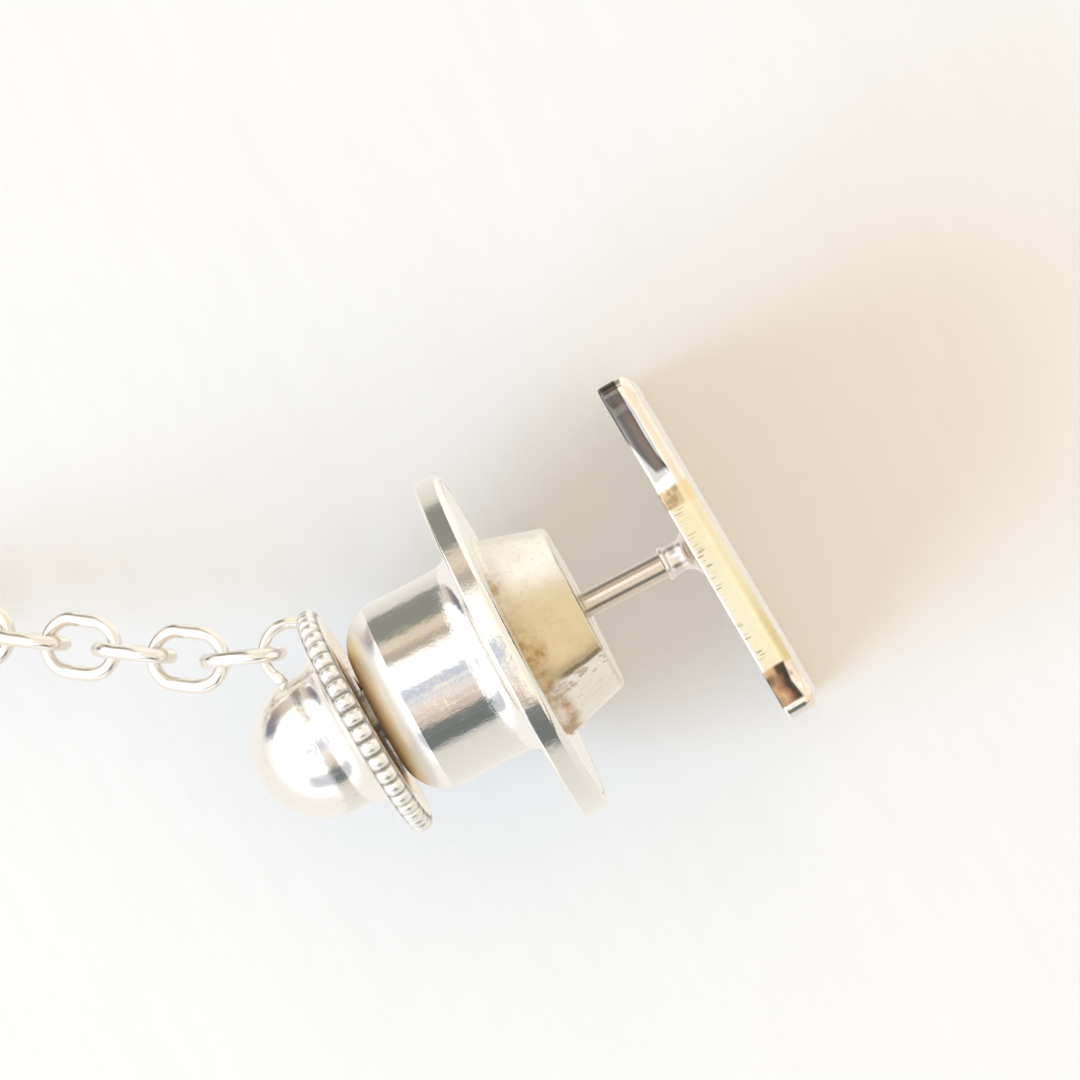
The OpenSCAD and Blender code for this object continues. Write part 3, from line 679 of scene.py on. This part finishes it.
def make_knob():
    xb, xb2, xd = S(-11.05), S(-11.76), S(-12.81)
    R = 2.27
    brim, bead = 3.87, 0.25
    core = brim - bead - 0.06
    fl = 0.85
    prof = [(S(-13.15), 0.87), (S(-13.15), 0.02), (S(-13.15) - 0.001, 0.0)]
    inner = [(S(-13.15), 0.0), (S(-13.15), 0.87), (xb, 0.87), (xb, 1.6), (xb, 2.6), (xb, core - 0.10)]
    edge0 = [(xb - 0.02, core - 0.03), (xb - 0.06, core)]
    rim = [(xb - 0.06 - (xb - xb2 - 0.12) * i / 14, core) for i in range(1, 14)]
    edge1 = [(xb2 + 0.06, core), (xb2 + 0.02, core - 0.03), (xb2, core - 0.09)]
    flare = arc(xb2 - fl, R + fl, fl, 0, -90, 14)
    dome = arc(xd, 0.0, R, 88, 180, 28)
    top = [(xb2, core - 0.25), (xb2, R + fl + 0.12)]
    prof = inner + edge0 + rim + edge1 + top + flare[0:] + dome[0:-1] + [(xd - R, 0.0)]
    # drop repeated stations
    clean = [prof[0]]
    for q in prof[1:]:
        if math.dist(q, clean[-1]) > 1e-4:
            clean.append(q)

    width = (xb - xb2) / 2 - 0.03
    mid = (xb + xb2) / 2

    def radial(x, r, a):
        if r < core - 0.02 or not (xb2 + 0.01 < x < xb - 0.01):
            return r
        t = (a * BEADS / (2 * math.pi)) % 1.0 * 2 - 1
        k = int(a * BEADS / (2 * math.pi)) % BEADS
        size = 1.0 + 0.05 * noise.noise(Vector((k * 1.7, 0.3, 0.9)))
        across = max(0.0, 1 - abs(t * 1.03) ** 2.4) ** 0.5
        u = abs(x - mid - 0.015 * noise.noise(Vector((k * 2.3, 5.0, 0.0)))) / (width * (1.0 - 0.16 * abs(t) ** 3))
        along = max(0.0, 1 - u ** 2.6) ** 0.5
        return r + (bead + 0.055) * size * across * along

    bm = bmesh.new()
    segs = BEADS * 14
    revolve(bm, clean, segs, closed=False, radial=radial)
    bm.normal_update()
    # keep the beads within the brim's radius
    for v in bm.verts:
        rr = math.hypot(v.co.y, v.co.z)
        if rr > brim * MM:
            v.co.y *= brim * MM / rr
            v.co.z *= brim * MM / rr
    # ring-shaped punch mark on the dome, and soft dents
    mark = Vector((xd - 0.42, 0.02, math.sqrt(R * R - 0.42 ** 2))) * MM
    for v in bm.verts:
        if v.co.x < (xb2 - 0.2) * MM and v.co.z > 0:
            d = (v.co - mark).length / MM
            if d < 0.30:
                h = -0.030 * math.exp(-((d - 0.12) / 0.035) ** 2) + 0.004 * math.exp(-(d / 0.05) ** 2)
                v.co += (v.co - Vector((xd * MM, 0, 0))).normalized() * h * MM
    dented(bm, 0.0035, 0.75, 21.0)
    bmesh.ops.rotate(bm, cent=Vector((xb * MM, 0, 0)), matrix=Matrix.Rotation(KNOB_CANT, 3, "Z"), verts=bm.verts)
    return link_object("knob_cap_body", bm, mat_knob, "knob", ["knob_cap"])


make_knob()


# ------------------------------------------------------------------ tack: plate, foot and pin
def rounded_square(half, rad, inset, n_side=96, n_corner=10):
    """Outline points (y, z) of the plate, with its corners."""
    w = half - inset
    r = max(0.05, rad - inset * 0.5)
    pts = []
    for q in range(4):
        a0 = math.radians(90 * q)
        c = Vector((w - r, w - r))
        rot = Matrix.Rotation(a0, 2)
        # corner
        for i in range(n_corner + 1):
            t = math.radians(90 * i / n_corner)
            pts.append(rot @ Vector((c.x + r * math.cos(t), c.y + r * math.sin(t))))
        # side that follows, towards the next corner
        for i in range(1, n_side):
            t = i / n_side
            pts.append(rot @ Vector((c.x - 2 * (w - r) * t, w)))
    return pts


def make_plate():
    half, rad, thick, aside = 5.75, 0.45, 1.0, -0.15
    rings = []
    steps = [(0.0, 0.60), (0.0, 0.30), (0.0, 0.14)]
    steps += [(0.09 - 0.09 * math.cos(math.radians(a)), 0.09 - 0.09 * math.sin(math.radians(a))) for a in (15, 35, 55, 75, 90)]
    steps += [(0.16, 0.0), (0.24, 0.0), (0.32, 0.0), (0.40, 0.0), (0.48, 0.0), (0.56, 0.0), (0.64, 0.0)]
    steps += [(thick - 0.30 + 0.30 * math.sin(math.radians(a)), 0.30 - 0.30 * math.cos(math.radians(a))) for a in (8, 20, 32, 45, 58, 70, 82, 90)]
    steps += [(thick, 0.42), (thick, 0.60), (thick - 0.015, 0.72), (thick - 0.015, 0.80), (thick, 0.92), (thick, 1.4)]
    bm = bmesh.new()
    skew = Matrix.Rotation(math.radians(2.9), 4, "Z")
    verts = []
    for t, inset in steps:
        ring = []
        for p in rounded_square(half, rad, inset):
            y, z = p
            dz = 0.0
            dt = 0.0
            if z > 5.2 and abs(y) < 5.35:
                # worn, hand-finished upper side: a lowered stretch towards +Y that leans to the back face, and a filed nick near the -Y end
                fade = min(1.0, (z - 5.2) / 0.25)
                s = smooth((y - (2.12 + 0.30 * (t - 0.5))) / 0.36) * (1 - smooth((y - 4.7) / 0.65))
                dz -= s * (0.055 + 0.14 * max(0.0, 0.62 - t) * smooth((0.72 - t) / 0.12))
                c = (y + 4.80) / 0.72
                if abs(c) < 1:
                    waist = 1.0 - 0.25 * math.exp(-((t - 0.45) / 0.16) ** 2)
                    dz -= 0.20 * (0.5 + 0.5 * math.cos(math.pi * c)) * waist * (1 - 0.5 * smooth((t - 0.75) / 0.2))
                dz *= fade
            ring.append(bm.verts.new((skew @ Vector(((t + dt) * MM, (y + aside) * MM, (z + dz) * MM))) + Vector((OX * MM, 0, 0))))
        verts.append(ring)
    n = len(verts[0])
    for a, b in zip(verts, verts[1:]):
        for j in range(n):
            k = (j + 1) % n
            bm.faces.new((a[j], a[k], b[k], b[j]))
    bm.faces.new(verts[0])
    bm.faces.new(list(reversed(verts[-1])))
    return link_object("front_plate_body", bm, mat_plate, "tack", ["front_plate"])


def smooth(t):
    t = max(0.0, min(1.0, t))
    return t * t * (3 - 2 * t)


make_plate()


def make_foot():
    lo, hi = box["pin_foot"]
    x0 = lo.x
    r_max = hi.z
    end = hi.x
    prof = [(x0, 0.405), (x0, 0.44)]
    prof += arc(x0 + 0.09, 0.463, 0.088, 200, 20, 10)
    k = r_max - 0.47
    prof += [(x0 + 0.30, 0.468), (x0 + 0.42, 0.469)]
    prof += [(x0 + 0.52 + k * math.sin(math.radians(a)), r_max - k * math.cos(math.radians(a))) for a in (0, 14, 28, 42, 54, 64, 72)]
    prof = [(min(x, end - 0.03), r) for x, r in prof]
    prof += [(end - 0.03, r_max - 0.05), (end - 0.012, r_max - 0.005), (end, r_max - 0.01), (end, 0.7), (end, 0.42), (end - 0.3, 0.405), (x0 + 0.3, 0.405)]
    bm = bmesh.new()
    revolve(bm, prof, 96, closed=True)
    dented(bm, 0.006, 1.6, 5.0)
    return link_object("pin_foot_body", bm, mat_foot, "tack", ["pin_foot"])


def make_pin():
    tip = S(-9.4)
    r = 0.4
    end = S(-1.05)
    prof = [(tip, 0.0), (tip + 0.008, 0.03), (tip + 0.04, 0.075), (tip + 0.3, 0.17), (tip + 0.62, 0.285), (tip + 0.95, r - 0.025),
            (tip + 1.13, r - 0.02), (tip + 1.17, r - 0.05), (tip + 1.22, r - 0.10), (tip + 1.33, r - 0.105), (tip + 1.45, r - 0.10),
            (tip + 1.50, r - 0.05), (tip + 1.54, r - 0.02), (tip + 2.2, r - 0.015), (tip + 3.5, r - 0.01), (S(-3.9), r - 0.001),
            (S(-3.3), r), (S(-2.2), r), (end, r), (end + 0.2, r - 0.005), (S(-0.04), 0.372), (S(-0.035), 0.30), (S(-0.035), 0.0)]
    bm = bmesh.new()
    revolve(bm, prof, 64, closed=False)
    dented(bm, 0.0010, 2.0, 8.0)
    return link_object("tack_pin_body", bm, mat_pin, "tack", ["tack_pin"])


make_foot()
make_pin()


# ------------------------------------------------------------------ chain
def tube(bm, path, radii, sides=16, closed=True, flat=1.0, up=None):
    """A tube along 3-D points in mm. up is the direction that stays across the wire's flat side."""
    n = len(path)
    rings = []
    for i, p in enumerate(path):
        a = path[(i - 1) % n] if closed or i > 0 else path[i]
        b = path[(i + 1) % n] if closed or i < n - 1 else path[i]
        t = (b - a).normalized()
        side = t.cross(up).normalized()
        v = side.cross(t).normalized()
        ring = []
        for j in range(sides):
            q = 2 * math.pi * j / sides
            o = side * (radii[i] * flat * math.cos(q)) + v * (radii[i] * math.sin(q))
            ring.append(bm.verts.new((p + o) * MM))
        rings.append(ring)
    last = n if closed else n - 1
    for i in range(last):
        a, b = rings[i], rings[(i + 1) % n]
        for j in range(sides):
            k = (j + 1) % sides
            bm.faces.new((a[j], a[k], b[k], b[j]))
    if not closed:
        bm.faces.new(list(reversed(rings[0])))
        bm.faces.new(rings[-1])
    return rings


def link_frame(node):
    """Centre, long axis, wide axis and normal of an oval link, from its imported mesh."""
    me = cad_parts[node].data
    pts = [Vector(v.co) / MM for v in me.vertices]
    c = sum(pts, Vector()) / len(pts)
    import numpy as np
    a = np.array([list(p - c) for p in pts])
    lo, hi = a.min(0), a.max(0)
    cov = a.T @ a
    w, v = np.linalg.eigh(cov)
    long_, wide, normal = Vector(v[:, 2]), Vector(v[:, 1]), Vector(v[:, 0])
    # centre from the extents along the three axes, so uneven vertex density does not shift it
    mid = Vector()
    size = []
    for ax in (long_, wide, normal):
        d = a @ np.array(list(ax))
        mid += ax * ((d.min() + d.max()) / 2)
        size.append(d.max() - d.min())
    return c + mid, long_, wide, normal, size


def make_link(node, body, index):
    c, lx, wx, nx, size = link_frame(node)
    wire = size[2] / 2
    m = (size[1] - 2 * wire) / 2
    s = size[0] / 2 - wire - m
    pts, radii = [], []
    n_bow, n_bar = 22, 8
    for e in (1, -1):
        for i in range(n_bow):
            a = math.radians(-90 + 180 * i / n_bow) if e > 0 else math.radians(90 + 180 * i / n_bow)
            pts.append(c + lx * (e * s + m * math.cos(a)) + wx * (m * math.sin(a)))
            # wire a touch thinner in the bows where it is worn
            radii.append(wire * (1.0 - 0.015 * abs(math.cos(a)) ** 4))
        for i in range(n_bar):
            t = i / n_bar
            pts.append(c + lx * (e * s * (1 - 2 * t)) + wx * (e * m))
            seam = 0.0
            if e > 0:
                seam = 0.030 * math.exp(-((t - 0.5) / 0.16) ** 2) - 0.022 * math.exp(-((t - 0.5) / 0.05) ** 2)
            radii.append(wire * (1.0 + seam * 0.3))
    bm = bmesh.new()
    tube(bm, pts, radii, 18, True, 1.0, nx)
    dented(bm, 0.010, 2.4, 31.0 + index * 1.9)
    return link_object(node + "_wire", bm, mat_wire, body, [node], weighted=False)


for i in range(1, 18):
    make_link(f"chain_link_{i:02d}", f"link_{i:02d}", i)


def make_eye():
    lo, hi = box["chain_eye"]
    wire = (hi.z - lo.z) / 2
    ring = 0.90
    c = Vector((lo.x + ring + wire, hi.y - ring - wire, 0))
    pts, radii = [], []
    n = 72
    for i in range(n + 1):
        a = math.radians(42 + (222 - 42) * i / n)
        pts.append(c + Vector((ring * math.cos(a), ring * math.sin(a), 0)))
        radii.append(wire * (0.985 - 0.03 * abs(math.sin(2 * a))))
    bm = bmesh.new()
    tube(bm, pts, radii, 18, False, 1.0, Vector((0, 0, 1)))
    dented(bm, 0.006, 3.0, 71.0)
    ob = link_object("chain_eye_wire", bm, mat_wire, "knob", ["chain_eye"], weighted=False)
    # solder that wicked along the ring's two feet onto the knob
    for k, (ang, long_, wide, turn) in enumerate(((50, 0.20, 0.17, 40), (213, 0.30, 0.19, -60))):
        a = math.radians(ang)
        at = c + Vector((ring * math.cos(a), ring * math.sin(a), 0))
        spin = Matrix.Rotation(math.radians(turn), 3, "Z")
        bm = bmesh.new()
        bmesh.ops.create_icosphere(bm, subdivisions=4, radius=1.0)
        for v in bm.verts:
            p = v.co.copy()
            r = 1.0 + 0.18 * noise.noise(p * 1.3 + Vector((4 + k, 0, 2)))
            v.co = (at + spin @ Vector((p.x * long_ * r, p.y * wide * r, p.z * 0.20 * r))) * MM
        link_object(f"eye_solder_{k + 1}", bm, mat_wire, "knob", [], weighted=False)
    return ob


make_eye()


def make_tbar():
    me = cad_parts["t_bar"].data
    import numpy as np
    a = np.array([list(v.co) for v in me.vertices]) / MM
    lo, hi = a.min(0), a.max(0)
    # the bar's direction is the long principal axis, level with the floor
    low = a[a[:, 2] < lo[2] + 0.6]
    c2 = low[:, :2].mean(0)
    w, v = np.linalg.eigh((low[:, :2] - c2).T @ (low[:, :2] - c2))
    d = Vector((v[0, 1], v[1, 1], 0)).normalized()
    s = Vector((-d.y, d.x, 0))
    along = a @ np.array(list(d))
    across = a @ np.array(list(s))
    mid_l, half_l = (along.min() + along.max()) / 2, (along.max() - along.min()) / 2
    r = 0.6
    # the bar lies on the side away from the ring
    ring_side = 1 if abs(across.max() - np.median(across)) > abs(across.min() - np.median(across)) else -1
    bar_s = across.min() + r if ring_side > 0 else across.max() - r
    z = lo[2] + r
    c = d * mid_l + s * bar_s + Vector((0, 0, z))
    prof = [(-half_l, 0.0)]
    prof += [(-half_l + r - r * math.cos(math.radians(t)), r * math.sin(math.radians(t))) for t in range(8, 90, 8)]
    prof += [(-half_l + 0.62, r), (-half_l + 0.80, r), (-half_l + 0.84, r - 0.035), (-half_l + 0.90, r - 0.035), (-half_l + 0.94, r),
             (-half_l + 2.0, r - 0.01), (-half_l + 3.6, r - 0.015), (-0.62, r - 0.015), (-0.5, r), (0.0, r)]
    prof += [(-x, q) for x, q in reversed(prof[:-1])]
    bm = bmesh.new()
    rings = revolve(bm, prof, 56, closed=False)
    m4 = Matrix(((d.x, s.x, 0, c.x * MM), (d.y, s.y, 0, c.y * MM), (0, 0, 1, c.z * MM), (0, 0, 0, 1)))
    bmesh.ops.transform(bm, matrix=m4, verts=bm.verts)
    dented(bm, 0.003, 0.9, 91.0)
    # ring at its middle
    loop_m, wr = 0.8, 0.225
    ring_c = c + s * (ring_side * (loop_m + 0.45))
    ring_c.z = z + 0.20
    pts, radii = [], []
    for i in range(56):
        q = 2 * math.pi * i / 56
        pts.append(ring_c + Vector((loop_m * math.cos(q), loop_m * math.sin(q), 0)))
        radii.append(wr * 0.985)
    tube(bm, pts, radii, 16, True, 1.0, Vector((0, 0, 1)))
    return link_object("t_bar_body", bm, mat_silver, "t_bar", ["t_bar"], weighted=False)


make_tbar()

# ------------------------------------------------------------------ inner pieces keep their CAD shape
for name, mat in (("taper_sleeve", mat_hard), ("ball_cage", mat_brass), ("cage_cap", mat_brass), ("locking_ball_1", mat_ball),
                  ("locking_ball_2", mat_ball), ("locking_ball_3", mat_ball), ("clutch_spring", mat_spring), ("guide_washer", mat_brass),
                  ("plunger_stem", mat_stem)):
    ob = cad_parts[name]
    if not ob.material_slots:
        ob.data.materials.append(mat)
    for sl in ob.material_slots:
        sl.material = mat


# ------------------------------------------------------------------ floor
def make_floor():
    bm = bmesh.new()
    bmesh.ops.create_grid(bm, x_segments=24, y_segments=24, size=0.45)
    for v in bm.verts:
        v.co.z = (FLOOR - 0.004) * MM
        v.co.x += -0.003
    me = bpy.data.meshes.new("floor")
    bm.to_mesh(me)
    bm.free()
    ob = bpy.data.objects.new("floor", me)
    scene.collection.objects.link(ob)
    m = bpy.data.materials.new("paper")
    m.use_nodes = True
    g = Nodes(m.node_tree)
    out = g.add("ShaderNodeOutputMaterial")
    b = g.add("ShaderNodeBsdfPrincipled")
    g.link(b.outputs[0], out.inputs[0])
    v = g.coords()
    cloud = g.noise(g.scaled(60, 60, 60), 1.0, 3.0, 0.5)
    rot = g.add("ShaderNodeMapping")
    rot.inputs["Rotation"].default_value = (0, 0, math.radians(-20))
    rot.inputs["Scale"].default_value = (1500, 260, 600)
    g.link(v, rot.inputs["Vector"])
    fibre = g.noise(rot.outputs[0], 1.0, 4.0, 0.55)
    tone = g.math("ADD", g.math("MULTIPLY", cloud, 0.45), g.math("MULTIPLY", fibre, 0.55))
    col = g.ramp(tone, [(0.25, (0.880, 0.882, 0.880)), (0.75, (0.915, 0.917, 0.915))])
    g.link(col, b.inputs["Base Color"])
    b.inputs["Roughness"].default_value = 0.95
    b.inputs["Specular IOR Level"].default_value = 0.1
    g.link(g.bump(fibre, 0.5, 0.00003), b.inputs["Normal"])
    ob.data.materials.append(m)
    ob.visible_glossy = False


make_floor()


# ------------------------------------------------------------------ soft studio light
def area(name, direction, distance, size, energy, colour, glossy=True, target=(-0.004, 0.0, 0.0)):
    data = bpy.data.lights.new(name, "AREA")
    data.shape = "DISK"
    data.size = size
    data.energy = energy
    data.color = colour
    ob = bpy.data.objects.new(name, data)
    d = Vector(direction).normalized()
    ob.location = Vector(target) + d * distance
    ob.rotation_mode = "QUATERNION"
    ob.rotation_quaternion = d.to_track_quat("Z", "Y")
    ob.visible_glossy = glossy
    scene.collection.objects.link(ob)
    return ob


area("key", (-0.84, -0.12, 0.54), 0.40, 0.30, 1.12, (0.38, 0.62, 1.0), glossy=False)


def srgb(*c):
    return tuple((v / 255 / 12.92) if v / 255 <= 0.04045 else ((v / 255 + 0.055) / 1.055) ** 2.4 for v in c)


def make_world():
    """A soft white room. Glossy rays see its windows, openings and warm walls; the even light of the room does the rest."""
    w = bpy.data.worlds.new("room")
    scene.world = w
    w.use_nodes = True
    g = Nodes(w.node_tree)
    out = g.add("ShaderNodeOutputWorld")
    tc = g.add("ShaderNodeTexCoord")
    sep = g.add("ShaderNodeSeparateXYZ")
    g.link(tc.outputs["Generated"], sep.inputs[0])
    dx, dy, dz = sep.outputs
    # angle about X from straight up, positive towards -Y, and lean towards +X, both in degrees
    alpha = g.math("MULTIPLY", g.math("ARCTAN2", g.math("MULTIPLY", dy, -1.0), dz), 180 / math.pi)
    lean = g.math("MULTIPLY", g.math("ARCSINE", dx), 180 / math.pi)
    # uneven walls: slow cloud over the room, so that no band is one flat colour
    cl = g.add("ShaderNodeTexNoise")
    g.link(tc.outputs["Generated"], cl.inputs["Vector"])
    cl.inputs["Scale"].default_value = 9.0
    cl.inputs["Detail"].default_value = 4.0
    cloud = g.math("SUBTRACT", cl.outputs["Fac"], 0.5)
    wob = g.math("ADD", alpha, g.math("MULTIPLY", cloud, 5.0))
    lean = g.math("ADD", lean, g.math("MULTIPLY", cloud, 3.0))

    def lin(c, k=1.0):
        return tuple(min(4.0, k * v / 0.925) for v in srgb(*c))

    stops = [(-180, lin((240, 238, 232))), (-139, lin((231, 227, 218))), (-122, lin((220, 215, 204))),
             (-117, lin((205, 200, 190))), (-113, lin((146, 145, 137))), (-98, lin((139, 140, 133))),
             (-78, lin((142, 142, 133))), (-74, lin((158, 155, 143))), (-70.5, lin((212, 200, 181))),
             (-60, lin((226, 210, 188))), (-56.5, lin((212, 196, 173))), (-54, lin((186, 176, 161))),
             (-46, lin((181, 172, 158))), (-42.5, lin((226, 221, 211))), (-39, lin((248, 247, 242), 1.1)),
             (-33, lin((255, 255, 255), 1.5)), (-12, lin((255, 255, 255), 1.6)), (-9.5, lin((240, 242, 248))),
             (-7.5, lin((208, 212, 223))), (0, lin((196, 201, 214))), (8, lin((211, 212, 222))), (13, lin((230, 225, 223))),
             (19, lin((232, 221, 213))), (26, lin((217, 202, 192))), (36, lin((198, 184, 172))),
             (39, lin((186, 174, 163))), (41.5, lin((126, 128, 125))), (52, lin((112, 117, 115))),
             (67, lin((115, 119, 117))), (71.5, lin((196, 193, 186))), (80, lin((221, 217, 208))), (180, lin((240, 238, 232)))]
    bands = g.ramp(g.maprange(wob, -180, 180, 0, 1), [((a + 180) / 360, c) for a, c in stops])

    # left side (towards -X): bright, with the two dark bands running on more thinly
    up = g.step(dz, -0.25, 0.35)
    left = g.mix(up, lin((245, 242, 236)), lin((255, 255, 255), 1.25))
    far = g.math("MULTIPLY", g.band(wob, -114, -80, 5.0), g.step(lean, -64, -52))
    patch = g.ramp(g.maprange(g.math("ADD", lean, g.math("MULTIPLY", cloud, 14.0)), -64, -8, 0, 1),
                   [(0.0, lin((96, 100, 124))), (0.34, lin((90, 90, 106))), (0.56, lin((150, 132, 126))), (0.72, lin((196, 180, 170))),
                    (1.0, lin((222, 212, 202)))])
    left = g.mix(g.math("MULTIPLY", far, 0.88), left, patch)
    near = g.math("MULTIPLY", g.band(wob, 44, 68, 5.0), g.step(lean, -50, -36))
    left = g.mix(g.math("MULTIPLY", near, 0.62), left, lin((128, 134, 150)))
    spot = g.math("MULTIPLY", g.band(alpha, -9, 8, 3.5), g.band(lean, -22, -13.5, 2.5))
    left = g.mix(g.math("MULTIPLY", spot, 0.45), left, lin((112, 106, 106)))
    # right side (towards +X): cream, with the near dark band running on
    right = g.mix(g.step(alpha, -60, -40), lin((252, 249, 238), 1.05), lin((246, 238, 222)))
    right = g.mix(g.step(alpha, 61, 65), right, lin((233, 227, 217)))
    right = g.mix(g.math("MULTIPLY", g.band(wob, 56.5, 63.5, 2.0), 0.9), right, lin((92, 76, 56)))
    col = g.mix(g.step(lean, -10.5, -8.0), left, bands)
    # overhead, just towards +X, the warm lamp that the plate's edge sees
    warm = g.math("MULTIPLY", g.band(lean, -1.7, 14.0, 0.35), g.band(alpha, -40, 36, 4.0))
    col = g.mix(g.step(lean, 7.0, 13.0), col, right)
    col = g.mix(warm, col, lin((255, 247, 226), 1.05))
    # straight down
    floor = g.step(g.math("MULTIPLY", dz, -1.0), 0.90, 0.985)
    col = g.mix(floor, col, lin((240, 235, 226)))
    glossy = g.add("ShaderNodeBackground")
    g.link(col, glossy.inputs[0])
    glossy.inputs[1].default_value = 1.0
    even = g.add("ShaderNodeBackground")
    even.inputs[0].default_value = (1.0, 0.90, 0.735, 1.0)
    even.inputs[1].default_value = 0.975
    seen = g.add("ShaderNodeBackground")
    seen.inputs[0].default_value = (0.90, 0.90, 0.89, 1.0)
    seen.inputs[1].default_value = 1.0
    path = g.add("ShaderNodeLightPath")
    mix1 = g.add("ShaderNodeMixShader")
    g.link(path.outputs["Is Glossy Ray"], mix1.inputs[0])
    g.link(even.outputs[0], mix1.inputs[1])
    g.link(glossy.outputs[0], mix1.inputs[2])
    mix2 = g.add("ShaderNodeMixShader")
    g.link(path.outputs["Is Camera Ray"], mix2.inputs[0])
    g.link(mix1.outputs[0], mix2.inputs[1])
    g.link(seen.outputs[0], mix2.inputs[2])
    g.link(mix2.outputs[0], out.inputs[0])


make_world()
scene.view_settings.view_transform = "Standard"
scene.view_settings.look = "None"
